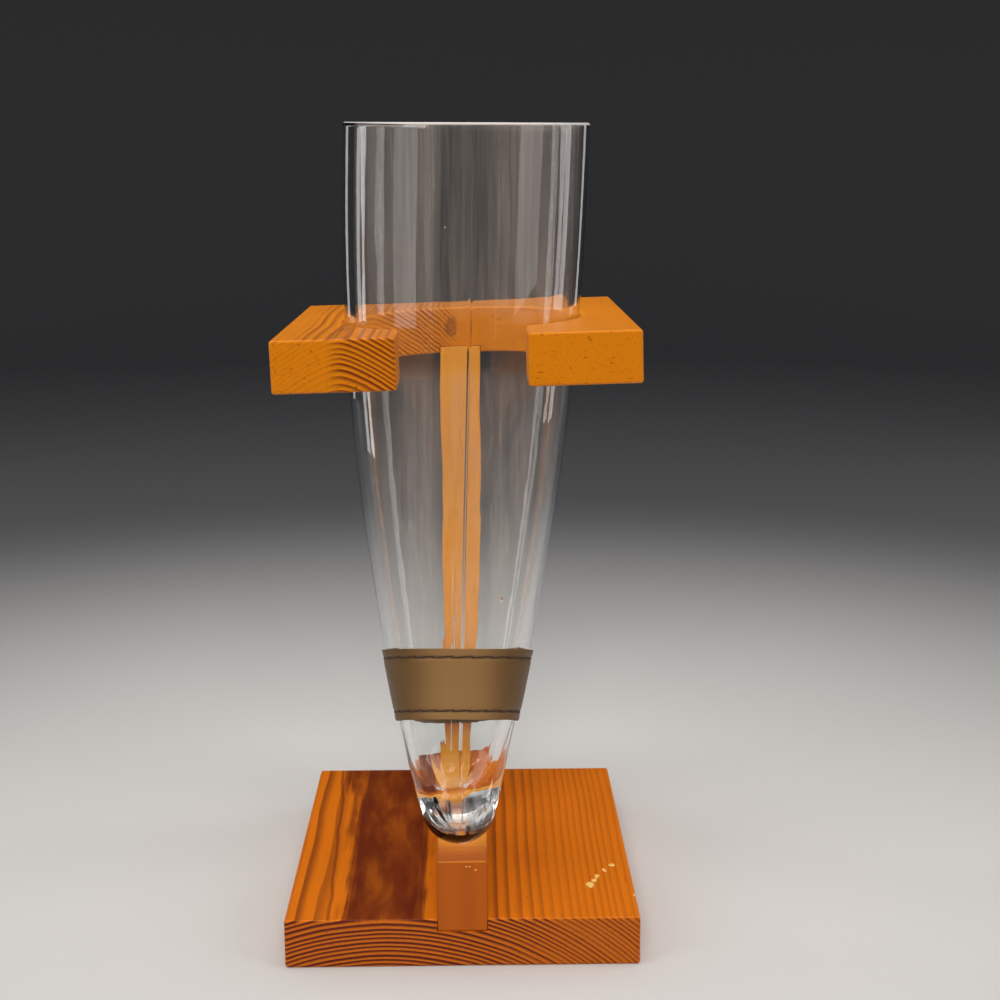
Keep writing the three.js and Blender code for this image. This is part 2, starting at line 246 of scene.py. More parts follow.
def ringFaces(rings, sides):
    # the faces between rings of points that follow each other
    faces = []
    for low in range(0, (rings - 1) * sides, sides):
        for side in range(sides):
            after = (side + 1) % sides
            faces.append((low + side, low + after, low + sides + after, low + sides + side))
    return faces


def solidFaces(rings, sides):
    # the same, with both end rings closed
    last = (rings - 1) * sides
    ends = [tuple(reversed(range(sides))), tuple(range(last, last + sides))]
    return ringFaces(rings, sides) + ends


# the photo's camera, with angles in degrees

camera = {
    "place": (0.006, -0.66, 0.309),
    "down": 11.81, "right": 0.92,
    "roll": -0.22,
    "lens": 57.6, "sensor": 36,
    "near": 0.01,
}


def setCamera():
    down, turn, roll = (math.radians(camera[key]) for key in ("down", "right", "roll"))
    data = bpy.data.cameras.new("camera")
    data.lens = camera["lens"]
    data.sensor_width = camera["sensor"]
    data.clip_start = camera["near"]
    eye = linked("camera", data)
    eye.matrix_world = (
        Matrix.Translation(camera["place"])
        @ Matrix.Rotation(-turn, 4, "Z")
        @ Matrix.Rotation(math.pi / 2 - down, 4, "X")
        @ Matrix.Rotation(roll, 4, "Z")
    )
    bpy.context.scene.camera = eye


setCamera()


# floor, lamps and room

studio = {
    "floorColour": (0.62, 0.61, 0.59, 1),
    "wallColour": (0.1, 0.1, 0.105, 1),
    "fadeStart": 0.12, "fadeEnd": 0.85,
    "floorRadius": 2.0,
    "floorRings": (0.05, 0.15, 0.4, 0.7, 1),
    "wallRadius": 2.9, "wallHeight": 2.2,
    "wallSteps": 12,
    "sides": 96,
    "roughness": 0.85,
    "worldColour": (0.8, 0.86, 0.95, 1),
    "worldStrength": 0.16,
}

lamps = {  # place, height aimed at, width, height, power, colour, mirrored, seen through glass
    "front": ((-0.05, -1.5, 1.05), 0.15, 0.8, 0.6, 18.2, (1, 0.96, 0.92), False, False),
    "left": ((-1.0, -0.7, 0.7), 0.15, 0.6, 1.2, 4.8, (1, 0.98, 0.96), True, False),
    "right": ((1.1, -0.6, 0.7), 0.15, 0.6, 1.2, 4.1, (1, 0.95, 0.94), True, False),
    "top": ((0, -0.05, 1.25), 0.1, 1.4, 0.5, 6.8, (1, 0.98, 0.96), True, True),
    "back": ((0, 0.95, 1.3), 0.1, 1.6, 0.5, 3.0, (1, 0.99, 0.98), False, True),
    "leftStrip": ((-0.8, 0.35, 0.45), 0.2, 0.1, 0.9, 0.9, (1, 0.99, 0.98), True, True),
    "rightStrip": ((0.85, 0.25, 0.45), 0.2, 0.12, 0.9, 1.1, (1, 0.97, 0.97), True, True),
    "leftEdge": ((-0.85, 1.05, 0.35), 0.2, 0.16, 1.1, 0.8, (1, 1, 1), True, False),
    "rightEdge": ((0.85, 1.05, 0.35), 0.2, 0.16, 1.1, 0.8, (1, 1, 1), True, False),
}


def makeFloor():
    # a round pale floor that curves up into a low wall, so that no view shows a horizon
    radius, steps, sides = studio["floorRadius"], studio["wallSteps"], studio["sides"]
    rise = studio["wallRadius"] - radius
    profile = [(radius * share, 0) for share in studio["floorRings"]]
    for step in range(1, steps + 1):
        bend = math.radians(90 * step / steps)
        profile.append((radius + rise * math.sin(bend), rise * (1 - math.cos(bend))))
    profile.append((studio["wallRadius"], studio["wallHeight"]))
    faces = [face[::-1] for face in ringFaces(len(profile), sides)]
    floor = newPiece("floor", turnedPoints(profile, sides), [tuple(range(sides)), *faces])
    floor.data.shade_smooth()
    look = Finish("paper")
    x, y, _ = look.split(look.place())
    far = look.maths("SQRT", x * x + y * y)
    fade = look.smooth(far, studio["fadeStart"], studio["fadeEnd"])
    colour = look.blend(fade, studio["floorColour"], studio["wallColour"])
    paper = look.close(Base_Color=colour, Roughness=studio["roughness"])
    floor.data.materials.append(paper)
    floor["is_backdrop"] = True


def makeLamps():
    for name, (place, aim, width, height, power, colour, mirrored, through) in lamps.items():
        data = bpy.data.lights.new(name, "AREA")
        data.shape = "RECTANGLE"
        data.size, data.size_y, data.energy, data.color = width, height, power, colour
        lamp = linked(name, data)
        lamp.location = place
        ahead = Vector((0, 0, aim)) - Vector(place)
        lamp.rotation_euler = ahead.to_track_quat("-Z", "Y").to_euler()
        lamp.visible_camera = False
        lamp.visible_glossy = mirrored
        lamp.visible_transmission = through
        lamp.visible_diffuse = "Edge" not in name  # the edge lamps only draw the glass's outline
    world = bpy.data.worlds.new("room")
    world.use_nodes = True
    background = world.node_tree.nodes["Background"]
    background.inputs["Color"].default_value = studio["worldColour"]
    background.inputs["Strength"].default_value = studio["worldStrength"]
    bpy.context.scene.world = world
    bpy.context.scene.view_settings.view_transform = "Standard"


makeFloor()
makeLamps()
print("studio set")


# pine boards

board = {
    "thickness": 0.02,
    "edge": 0.0011,
    "width": 0.14, "depth": 0.16,
    "grooveFloor": 0.0148,
    "footTop": 0.0443,
    "postFront": 0.047,
    "corner": 0.025,
    "fit": 0.0003,
    "screwPlaces": (-0.045, 0.0635),
    "screwProfile": ((0.0043, -0.005), (0.0043, 0.00075), (0.0023, 0.00315), (0.0023, 0.0359)),
    "bevelSteps": 4, "bevelAngle": math.radians(35),
    "sharpAngle": math.radians(30),
    "cornerSteps": 20, "cutterSides": 40,
    "beyond": 0.1,  # how far the cutters reach past the wood
}

yoke = {
    "width": 0.138, "depth": 0.152,
    "underside": 0.228,
    "roll": 1.5,
    "slot": 0.049,
    "hole": (0.00188, -0.00072),
    "holeRadius": 0.04938, "housing": 0.003,
    "holeSteps": 150,
    "dowelPlaces": (0.0555, 0.0715),
    "dowelProfile": ((0.0043, -0.0163), (0.0043, 0.0143)),
}

# how any board's wood looks, with patterns in cells a metre across, deep and along the grain
pine = {
    "peak": 0.0,  # how pointed the growth rings are
    "heart": 2e-5,  # rounds the rings' points off
    "sway": 9.0,
    "uneven": (60.0, 60.0, 11.0), "unevenness": 0.0007,
    "years": 110.0,
    "contrast": 0.8,
    "strong": (-1.0, -0.9, 1.0, 1.1),  # the full rings start and stop across the board
    "rest": (0, 0),  # the rings' share before and after them
    "spread": 0.0,  # the strong rings start this much earlier on the long faces
    "calm": 0.0,  # and are this much weaker towards the back
    "calmFrom": (-0.02, 0.04),
    "fibre": (900.0, 900.0, 16.0),
    "hair": (3200.0, 3200.0, 60.0),
    "duct": (1500.0, 1500.0, 120.0), "ductEdge": (0.7, 0.76),
    "pit": (380.0, 950.0, 100.0), "pitEdge": (0.69, 0.74),
    "stain": (22.0, 22.0, 9.0), "stainEdge": (0.5, 0.85),
    "rub": 70.0,
    "endShade": 0.0,
    "ripen": (-2.0, -1.0, 0.0, 0.35),  # two places along the grain, how pale before and after
    "relief": (0.00006, 0.55),
    "upper": (0.5, 0.9),  # how far a face looks up to carry the upper side's marks
}
# where each board came out of its log, and what is its own
pineBase = {
    **pine,
    "along": "y", "pith": (-0.031, -0.105),
    "ring": 0.0018, "shift": 0.15,
    "wander": 0.0012,
    "light": (0.68, 0.165, 0.002, 1),
    "amber": (0.54, 0.112, 0.001, 1),
    "dark": (0.1, 0.01, 0.002, 1),
    "strong": (-1.0, -0.9, -0.005, 0.045), "rest": (0, 0.42),
    "pits": 0.35, "endShade": 0.3,
    "endLines": 2.8,
}
pineYoke = {
    **pine,
    "along": "y", "pith": (-0.0435, 0.15),
    "peak": 0.45,
    "ring": 0.0021, "shift": 0.4,
    "wander": 0.003,
    "light": (0.64, 0.195, 0.002, 1),
    "amber": (0.52, 0.135, 0.002, 1),
    "dark": (0.16, 0.022, 0.003, 1),
    "strong": (-0.05, -0.041, -0.016, 0.004), "rest": (0.15, 0.04),
    "spread": 0.014, "calm": 0.15,
    "pits": 0.6, "endShade": 0.05,
    "endLines": 1.8,
}
pineUpright = {
    **pine,
    "along": "z", "pith": (0.002, -0.1),
    "ring": 0.0036, "shift": 0.35,
    "wander": 0.0015,
    "light": (0.74, 0.29, 0.03, 1),
    "amber": (0.4, 0.084, 0.001, 1),
    "dark": (0.2, 0.034, 0.003, 1),
    "contrast": 0.24,
    "pits": 0.2, "endLines": 1.3,
    "ripen": (0.042, 0.12, -0.25, 0.35),
}


def pineFinish(name, wood, marks):
    look = Finish(name)
    place = look.place()
    x, y, z = look.split(place)
    _, ny, nz = look.split(look.node("TexCoord", out="Normal"))
    across, deep, along, facing = (x, z, y, ny) if wood["along"] == "y" else (x, y, z, nz)
    spots = (across, deep, along)
    ends = look.smooth(abs(facing), 0.45, 0.9)
    # growth rings round the log's middle, which wanders along the grain
    sway = look.noise(look.join(along * wood["sway"], wood["shift"], 0)).other("Color")
    swayX, swayY, _ = look.split(sway)
    side = across - wood["pith"][0] + (swayX - 0.5) * wood["wander"]
    down = deep - wood["pith"][1] + (swayY - 0.5) * wood["wander"]
    uneven = (look.cells(spots, wood["uneven"]) - 0.5) * wood["unevenness"]
    radius = look.maths("SQRT", side * side + down * down) + uneven
    radius = radius + look.maths("SQRT", side * side + wood["heart"]) * wood["peak"]
    years = look.noise(look.join(radius * wood["years"], wood["shift"], 0.3), 1, 1)
    phase = radius / wood["ring"] + years * 2.2 + wood["shift"]
    season = look.maths("FRACT", phase)
    sockets = {"W": look.maths("FLOOR", phase)}
    strength = look.node("TexWhiteNoise", {"noise_dimensions": "1D"}, sockets)
    late = look.smooth(season, 0.3 - ends * 0.1, 0.86) * (1 - look.smooth(season, 0.9, 0.99))
    late = late * (strength * 0.45 + 0.55)
    rise, full, fall, gone = wood["strong"]
    before, after = wood["rest"]
    shifted = across + (1 - ends) * wood["spread"]
    late = late * (look.smooth(shifted, rise, full) * (1 - before) + before)
    late = late * (1 - look.smooth(across, fall, gone) * (1 - after))
    late = late * (ends * (wood["endLines"] - 1) + 1)
    late = late * (1 - look.smooth(along, *wood["calmFrom"]) * wood["calm"])
    # fibres, resin ducts and slow changes of colour
    fibre = look.cells(spots, wood["fibre"], 3, 0.6)
    hair = look.cells(spots, wood["hair"])
    ducts = look.smooth(look.cells(spots, wood["duct"], 1) + ends * 0.03, *wood["ductEdge"])
    pits = look.smooth(look.cells(spots, wood["pit"], 1), *wood["pitEdge"]) * ends
    start, end, before, after = wood["ripen"]
    ripe = look.smooth(along, start, end) * (after - before) + before
    stain = look.smooth(look.cells(spots, wood["stain"], 3) + ripe, *wood["stainEdge"])
    pale = look.blend(stain, wood["amber"], wood["light"])
    share = late * wood["contrast"] + (fibre - 0.5) * 0.3 + (hair - 0.5) * 0.1
    share = look.maths("MINIMUM", look.maths("MAXIMUM", share, 0), 1)
    colour = look.blend(share, pale, wood["dark"])
    for part in (ducts * 0.5, pits * wood["pits"], ends * wood["endShade"]):
        colour = look.blend(part, colour, wood["dark"])
    rough = look.noise(place, wood["rub"], 3) * 0.2 + 0.34 + share * 0.06
    height = fibre * 0.5 + late * 0.35 + hair * 0.2 - ducts * 0.8 - pits * 0.8
    colour, height = marks(look, colour, height, (across, deep, along, nz))
    return look.close(
        Base_Color=colour, Roughness=rough, Normal=look.bump(height, *wood["relief"]),
        Specular_IOR_Level=0.2, Coat_Weight=0.07, Coat_Roughness=0.2,
    )


streak = {
    "middle": -0.0332, "slant": -0.037,
    "widening": 0.023,
    "inner": 0.013, "outer": 0.02,
    "colour": (0.105, 0.009, 0.002, 1),
    "share": 0.88,
    "line": -0.0553,
    "lineWidth": (0.0002, 0.0011),
    "chips": (
        (0.0521, -0.0507, 0.003), (0.054, -0.0465, 0.0019), (0.0556, -0.0423, 0.002),
        (0.059, -0.0366, 0.0015), (0.0627, -0.0318, 0.0021), (0.0697, -0.06, 0.0016),
    ),
    "chipColour": (0.9, 0.58, 0.17, 1),
    "ragged": (420.0, 1, 18.0),
    "drift": (1, 1, 20.0),
    "depth": (90.0, 1, 24.0),
    "torn": (500.0, 380.0, 1),
}


def baseMarks(look, colour, height, spots):
    # the dark red streak along the upper face, and the pale chips near its right edge
    across, _, along, upwards = spots
    upper = look.smooth(upwards, *pine["upper"])
    ragged = look.cells((across, 0, along), streak["ragged"], 4, 0.6)
    drift = look.cells((0, 3, along), streak["drift"])
    middle = along * streak["slant"] + streak["middle"] - (drift - 0.5) * 0.02
    away = abs(across - middle) - along * streak["widening"]
    edge = look.smooth(away + (ragged - 0.5) * 0.018, streak["inner"], streak["outer"])
    depth = look.cells((across, 1, along), streak["depth"], 4, 0.6)
    depth = look.smooth(depth, 0.25, 0.62) * 0.6 + 0.4
    colour = look.blend((1 - edge) * upper * depth * streak["share"], colour, streak["colour"])
    beside = along * streak["slant"] + streak["line"] - (drift - 0.5) * 0.006
    line = 1 - look.smooth(abs(beside - across), *streak["lineWidth"])
    colour = look.blend(line * upper * 0.55, colour, streak["colour"])
    torn = look.cells((across, along, 0), streak["torn"], 3)
    chips = 0
    for *place, size in streak["chips"]:
        gap = look.reach((across, along), place, (2.2, 1)) + (torn - 0.5) * 0.005
        chips = look.maths("MAXIMUM", chips, 1 - look.smooth(gap, size * 0.6, size))
    colour = look.blend(chips * upper, colour, streak["chipColour"])
    return colour, height - chips * upper * 3.0


knot = {
    "place": (-0.0044, 0.2393),
    "size": 0.0042,
    "from": 0.03,
    "colour": (0.16, 0.04, 0.006, 1),
    "crack": ((-0.0451, -0.0269), (-0.0453, -0.0758)),
    "crackWidth": 0.00035, "crackFade": 0.014,
    "torn": (500.0, 300.0, 60.0),
}


def yokeMarks(look, colour, height, spots):
    # a small knot in the wall of the hole, and a dark crack along the left arm's upper face
    across, deep, along, upwards = spots
    torn = look.cells(spots[:3], knot["torn"], 3)
    gap = look.reach((across, deep), knot["place"], (1, 0.6)) + (torn - 0.5) * 0.005
    behind = look.smooth(along, knot["from"], knot["from"] + 0.008)
    disc = (1 - look.smooth(gap, knot["size"] * 0.5, knot["size"])) * behind
    rays = look.maths("SINE", gap * 5200) * 0.2 + 0.8
    colour = look.blend(disc * rays * 0.75, colour, knot["colour"])
    (startX, startY), (endX, endY) = knot["crack"]
    slant, middle = (endX - startX) / (endY - startY), (startY + endY) / 2
    away = abs(across - (startX + (along - startY) * slant + (torn - 0.5) * 0.0012))
    within = 1 - look.smooth(abs(along - middle), knot["crackFade"], (startY - endY) / 2)
    crack = (1 - look.smooth(away, knot["crackWidth"] * 0.4, knot["crackWidth"])) * within
    crack = crack * look.smooth(upwards, *pine["upper"])
    return look.blend(crack * 0.8, colour, knot["colour"]), height - crack * 3


endGrain = {
    # where the painted pool of light on the foot's top starts behind the tip, and the colour it
    # adds; then specks and a worn edge
    "from": -0.078, "to": -0.045,
    "colour": (0.33, 0.21, 0.03, 1),
    "specks": ((0.0053, 0.0407, 0.0006), (0.0016, 0.0422, 0.0005), (0.0029, 0.0421, 0.0005)),
    "speckColour": (0.85, 0.45, 0.16, 1),
    "worn": (-0.08, -0.0793, 0.0437, 0.0442),
    "wornColour": (0.9, 0.47, 0.13, 1),
}


def uprightMarks(look, colour, height, spots):
    # a painted pool of light on the upward faces behind the tip, specks on the foot's front, and
    # its worn edge
    across, deep, along, upwards = spots
    # painted light, added on the upward faces behind the tip
    paintedLightPool = look.smooth(deep, endGrain["from"], endGrain["to"]) * look.smooth(upwards, 0.3, 0.8)
    pooledColour = look.blend(paintedLightPool, colour, endGrain["colour"], "ADD")
    specks = 0
    for *place, size in endGrain["specks"]:
        gap = look.reach((across, along), place, (1, 2))
        specks = look.maths("MAXIMUM", specks, 1 - look.smooth(gap, size * 0.4, size))
    specks = specks * (1 - look.smooth(deep, -0.0795, -0.079))
    colour = look.blend(specks, pooledColour, endGrain["speckColour"])
    front, behind, low, high = endGrain["worn"]
    worn = (1 - look.smooth(deep, front, behind)) * look.smooth(along, low, high)
    return look.blend(worn * 0.75, colour, endGrain["wornColour"]), height


def slab(name, outline, turn):
    # a board cut to an outline in XY, with its thickness upwards, and then turned
    points = [(x, y, z) for z in (0, board["thickness"]) for x, y in outline]
    piece = newPiece(name, points, solidFaces(2, len(outline)))
    piece.data.transform(turn)
    bevel = piece.modifiers.new("edges", "BEVEL")
    bevel.width = board["edge"]
    bevel.segments = board["bevelSteps"]
    bevel.limit_method = "ANGLE"
    bevel.angle_limit = board["bevelAngle"]
    return piece


def arc(centre, radius, first, last, steps):
    x, y = centre
    angles = np.radians(np.linspace(first, last, steps + 1))
    return [(x + radius * math.cos(angle), y + radius * math.sin(angle)) for angle in angles]


def blockCutter(low, high, turn=Matrix()):
    spans = list(zip(low, high))
    points = [(x, y, z) for z in spans[2] for y in spans[1] for x in spans[0]]
    faces = [(0, 2, 3, 1), (4, 5, 7, 6), (0, 1, 5, 4), (2, 6, 7, 3), (0, 4, 6, 2), (1, 3, 7, 5)]
    return newPiece("cutter", [turn @ Vector(point) for point in points], faces)


def barCutters(profile, places, turn=Matrix()):
    sides, cutters = board["cutterSides"], []
    for y in places:
        points = [turn @ Vector(point) for point in turnedPoints(profile, sides, y)]
        cutters.append(newPiece("cutter", points, solidFaces(len(profile), sides)))
    return cutters


def cut(piece, cutters):
    for cutter in cutters:
        modifier = piece.modifiers.new("cut", "BOOLEAN")
        modifier.operation = "DIFFERENCE"
        modifier.solver = "EXACT"
        modifier.object = cutter
    settled(piece)
    for cutter in cutters:
        bpy.data.objects.remove(cutter)
    piece.data.shade_smooth()
    piece.data.set_sharp_from_angle(angle=board["sharpAngle"])
    weighted = piece.modifiers.new("shading", "WEIGHTED_NORMAL")
    weighted.keep_sharp = True
    return settled(piece)


def dress(piece, node, body, material):
    piece.data.materials.clear()
    piece.data.materials.append(material)
    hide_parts(node)
    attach(piece, body)


yokePlace = Matrix.Translation((0, 0, yoke["underside"]))
yokeTurn = yokePlace @ Matrix.Rotation(math.radians(-yoke["roll"]), 4, "Y")
beyond = board["beyond"]
screws = (board["screwProfile"], board["screwPlaces"])
dowels = (yoke["dowelProfile"], yoke["dowelPlaces"], yokeTurn)


def makeBase():
    x, y, half = board["width"] / 2, board["depth"] / 2, board["thickness"] / 2
    outline = [(-x, -y), (x, -y), (x, y), (-x, y)]
    piece = slab("base", outline, Matrix())
    groove = blockCutter((-half, -beyond, board["grooveFloor"]), (half, beyond, beyond))
    cut(piece, [groove, *barCutters(*screws)])
    dress(piece, "base_board", "stand", pineFinish("basePine", pineBase, baseMarks))


def makeUpright():
    floor, foot, post = board["grooveFloor"], board["footTop"], board["postFront"]
    y, half, corner = board["depth"] / 2, board["thickness"] / 2, board["corner"]
    top = yoke["underside"] + board["thickness"]
    outline = [(-y, floor), (y, floor), (y, top), (post, top)]
    outline += arc((post - corner, foot + corner), corner, 0, -90, board["cornerSteps"])
    outline += [(-y, foot)]
    sideways = Matrix(((0, 0, 1, 0), (1, 0, 0, 0), (0, 1, 0, 0), (0, 0, 0, 1)))
    turn = Matrix.Translation((-half, 0, 0)) @ sideways
    piece = slab("post", outline, turn)
    low = (-beyond, -beyond, yoke["housing"] - board["fit"])
    head = blockCutter(low, (beyond, beyond, beyond), yokeTurn)
    cut(piece, [head, *barCutters(*screws), *barCutters(*dowels)])
    material = pineFinish("uprightPine", pineUpright, uprightMarks)
    dress(piece, "upright", "stand", material)


def makeYoke():
    x, back, slot = yoke["width"] / 2, board["depth"] / 2, yoke["slot"] / 2
    front = back - yoke["depth"]
    seat = yoke["hole"][0]
    gap = math.degrees(math.asin(slot / yoke["holeRadius"]))
    outline = [(-x, front), (seat - slot, front)]
    outline += arc(yoke["hole"], yoke["holeRadius"], -90 - gap, -450 + gap, yoke["holeSteps"])
    outline += [(seat + slot, front), (x, front), (x, back), (-x, back)]
    piece = slab("yoke", outline, yokeTurn)
    half = board["thickness"] / 2 + board["fit"]
    low = (-half, board["postFront"] - board["fit"], -beyond)
    housing = blockCutter(low, (half, beyond, yoke["housing"]), yokeTurn)
    cut(piece, [housing, *barCutters(*dowels)])
    dress(piece, "yoke_board", "stand", pineFinish("yokePine", pineYoke, yokeMarks))


makeBase()
makeUpright()
makeYoke()
print("boards cut")


# the horn's line and outline

horn = {
    "mouthRadius": 0.0499, "mouthTilt": math.radians(-1.5),
    "mouthCut": math.radians(1.7),
    "tipRadius": 0.0149, "tipTilt": math.radians(60),
    "tipFlare": math.radians(13.6),
    "bendTilt": math.radians(20.8),
    "tipArc": 0.034, "bodyArc": 0.24635,
    "tipFullness": 0.15, "mouthFullness": 0.064,
    "wall": 0.0045,
    "hollowStart": 0.003, "hollowRound": 0.018,
    "unevenness": -0.0018, "evenFrom": 0.035,
    "lip": 0.0012,
    "place": (-0.0012, -0.0608, 0.0595),
    "lean": math.radians(2), "turn": math.radians(4),
}

glass = {
    "sides": 256,
    "crowding": 0.36,  # more sides at the front and back, where the seams are
    "tipSteps": 22, "bodySteps": 110,
    "lipSteps": 7,
    "waveHeight": 0.00006, "waveFineness": 5.0,
    "waveLength": 16.0,
    "tipWaves": 4.0, "tipFade": -30.0,
    "calmRadius": 0.012,
    "seamHeight": 0.00022, "seamWidth": 0.00045,
    "seed": 4.0,
    "hazeFrom": 0.05, "hazeRise": 0.02,
    "lipHaze": (9.0, 2.6),  # outside and inside
    "rubbed": 0.192,  # where the yoke's painted shade lies on the film: less film there
    "rubbedReach": 0.014, "rubbedShare": 0.8,
    "hazeEdge": (0.42, 0.5),
    "hazeGap": (0.95, 0.985),  # less film in the middle of the front and back
    "weld": 2e-6,
}

hornTurn = (
    Matrix.Translation(horn["place"])
    @ Matrix.Rotation(horn["turn"], 4, "Z")
    @ Matrix.Rotation(horn["lean"], 4, "Y")
)
hornLength = horn["tipArc"] + horn["bodyArc"]


def alongArc(start, endTilt, length, distance):
    turn = (endTilt - start[2]) / length
    tilt = start[2] + turn * distance
    y = start[0] + (math.cos(start[2]) - math.cos(tilt)) / turn
    z = start[1] + (math.sin(tilt) - math.sin(start[2])) / turn
    return y, z, tilt


tipCentre = (0.0, 0.0, horn["tipTilt"])
bendEnd = alongArc(tipCentre, horn["bendTilt"], horn["tipArc"], horn["tipArc"])


def centreLine(distance):
    if distance < 0:
        tilt = horn["tipTilt"]
        return distance * math.sin(tilt), distance * math.cos(tilt), tilt
    if distance < horn["tipArc"]:
        return alongArc(tipCentre, horn["bendTilt"], horn["tipArc"], distance)
    return alongArc(bendEnd, horn["mouthTilt"], horn["bodyArc"], distance - horn["tipArc"])


def outlineHandles():
    # the outer outline is a Bezier curve through (distance, radius)
    flare, radius, mouth = horn["tipFlare"], horn["tipRadius"], horn["mouthRadius"]
    start = np.array((-radius * math.sin(flare), radius * math.cos(flare)))
    ahead = horn["tipFullness"] * np.array((math.cos(flare), math.sin(flare)))
    end = (hornLength - horn["mouthFullness"], mouth)
    return np.array([start, start + ahead, end, (hornLength, mouth)])


handles = outlineHandles()


def outlinePoint(share):
    keep = 1 - share
    weights = (keep**3, 3 * keep**2 * share, 3 * keep * share**2, share**3)
    return np.dot(weights, handles)


outlineTable = np.array([outlinePoint(share) for share in np.linspace(0, 1, 400)])


def outerRadius(distance):
    return float(np.interp(distance, outlineTable[:, 0], outlineTable[:, 1]))


def hornPoint(distance, radius, angle):
    # angle 0 is the right, 90 degrees the back, in the horn's own frame
    y, z, tilt = centreLine(distance)
    back = radius * math.sin(angle)
    x, y, z = radius * math.cos(angle), y + back * math.cos(tilt), z - back * math.sin(tilt)
    return hornTurn @ Vector((x, y, z))


# glass

def hornStations():
    # rings from the tip up the outside, over the lip and down the inside, as
    # (distance, radius, slope of the ring, inside or not, share of haze)
    outside, inside = [], []
    keys = ("tipRadius", "mouthRadius", "wall", "hollowRound")
    tip, mouth, wall, round_ = (horn[key] for key in keys)
    tipShares = np.arange(glass["tipSteps"]) / glass["tipSteps"]
    for share in tipShares:
        angle = share * (math.pi / 2 - horn["tipFlare"])
        outside.append((-tip * math.cos(angle), tip * math.sin(angle), 0, 0, 0))
    for share in np.arange(glass["bodySteps"]) / glass["bodySteps"]:
        distance, radius = outlinePoint(share)
        haze = min(max((distance - glass["hazeFrom"]) / glass["hazeRise"], 0), 1)
        # less film round the yoke: a painted shade of the yoke on the film
        rubbed = abs(distance - glass["rubbed"]) / glass["rubbedReach"]
        haze *= 1 - glass["rubbedShare"] * math.exp(-(rubbed**6))
        outside.append((distance, radius, 0, 0, haze))
    roundEnd = horn["hollowStart"] + round_
    for share in tipShares:
        angle = share * math.pi / 2
        distance = roundEnd - round_ * math.cos(angle)
        inside.append((distance, (outerRadius(distance) - wall) * math.sin(angle), 0, 1, 0))
    last = hornLength - horn["lip"]
    for distance in np.linspace(roundEnd, last, glass["bodySteps"], endpoint=False):
        inside.append((distance, outerRadius(distance) - wall, 0, 1, 0))
    slope = math.tan(horn["mouthCut"])
    for step in range(glass["lipSteps"] + 1):
        angle = step / glass["lipSteps"] * math.pi / 2
        distance = hornLength - horn["lip"] * (1 - math.sin(angle))
        rounded = horn["lip"] * (1 - math.cos(angle))
        outer, inner = (1 + (full - 1) * math.sqrt(math.sin(angle)) for full in glass["lipHaze"])
        outside.append((distance, mouth - rounded, slope, 0, outer))
        inside.append((distance, mouth - wall + rounded, slope, 1, inner))
    return outside + inside[::-1]


# what each station stores for the rings
stationAxes = ("centre", "back", "tangent")
stationValues = ("along", "radius", "slope", "inside", "haze")


def ringTree():
    # rings round the horn's line, with waves in the glass and the mould's two seams
    graph, inputs = growTree("glassRings", {
        "Int": ("sides",),
        "Float": (
            "crowding", "waveHeight", "waveFineness", "waveLength", "tipWaves", "tipFade",
            "seamHeight", "seamWidth", "seed", "calmRadius", "weld",
        ),
    })
    profile = inputs["Geometry"]
    stations = graph.node("AttributeDomainSize", None, {0: profile})
    sockets = {"Vertices X": inputs["sides"] + 1, "Vertices Y": stations}
    grid = graph.node("MeshGrid", None, sockets)
    index = graph.node("InputIndex")
    column = graph.maths("FLOOR", (index + 0.5) / stations)
    row = index - column * stations

    def station(name, kind="FLOAT"):
        settings = {"data_type": kind}
        value = graph.node("InputNamedAttribute", settings, {"Name": name})
        sockets = {"Geometry": profile, "Value": value, "Index": row}
        return graph.node("SampleIndex", settings, sockets)

    centre, back, tangent = (station(name, "FLOAT_VECTOR") for name in stationAxes)
    along, radius, slope, inside, haze = (station(name) for name in stationValues)
    even = column / inputs["sides"] * (2 * math.pi)
    angle = even + graph.maths("SINE", even * 2) * inputs["crowding"]
    cosine, sine = graph.maths("COSINE", angle), graph.maths("SINE", angle)
    fineness = inputs["waveFineness"]
    spot = graph.join(
        cosine * fineness + inside * 7.0,
        sine * fineness,
        along * inputs["waveLength"] + inputs["seed"],
    )
    nearTip = graph.maths("EXPONENT", along * inputs["tipFade"]) * inputs["tipWaves"] + 1
    wave = (graph.noise(spot) - 0.5) * inputs["waveHeight"] * (inside * 1.4 + 0.6) * nearTip
    offset = radius * cosine / inputs["seamWidth"]
    seam = graph.maths("EXPONENT", offset * offset * -1) * inputs["seamHeight"]
    fade = graph.maths("MINIMUM", radius / inputs["calmRadius"], 1)
    wide = radius + (wave + seam * (1 - inside)) * fade
    place = graph.vector("ADD", centre, graph.join(wide * cosine, 0, 0))
    place = graph.vector("ADD", place, graph.scaled(back, wide * sine))
    place = graph.vector("ADD", place, graph.scaled(tangent, wide * cosine * slope))
    side = graph.smooth(abs(sine), *glass["hazeEdge"])
    side = side * (1 - graph.smooth(abs(sine), *glass["hazeGap"]) * 0.4)
    lip = graph.maths("MAXIMUM", side, graph.smooth(haze, 1, 1.5))
    sockets = {"Geometry": grid, "Name": "film", "Value": haze * lip}
    marked = graph.node("StoreNamedAttribute", None, sockets)
    moved = graph.node("SetPosition", None, {"Geometry": marked, "Position": place})
    welded = graph.node("MergeByDistance", None, {"Geometry": moved, "Distance": inputs["weld"]})
    return endTree(graph, welded, inputs["material"])


flaws = {
    "bubble": (0.0162, -0.0503, 0.1413),
    "bubbleSize": 0.001,
    "seeds": (
        (0.0296, -0.0398, 0.311), (-0.0305, -0.0346, 0.3027),
        (-0.0046, -0.0471, 0.2862), (-0.042, -0.0186, 0.3116),
    ),
    "seedSize": 0.00045,
}

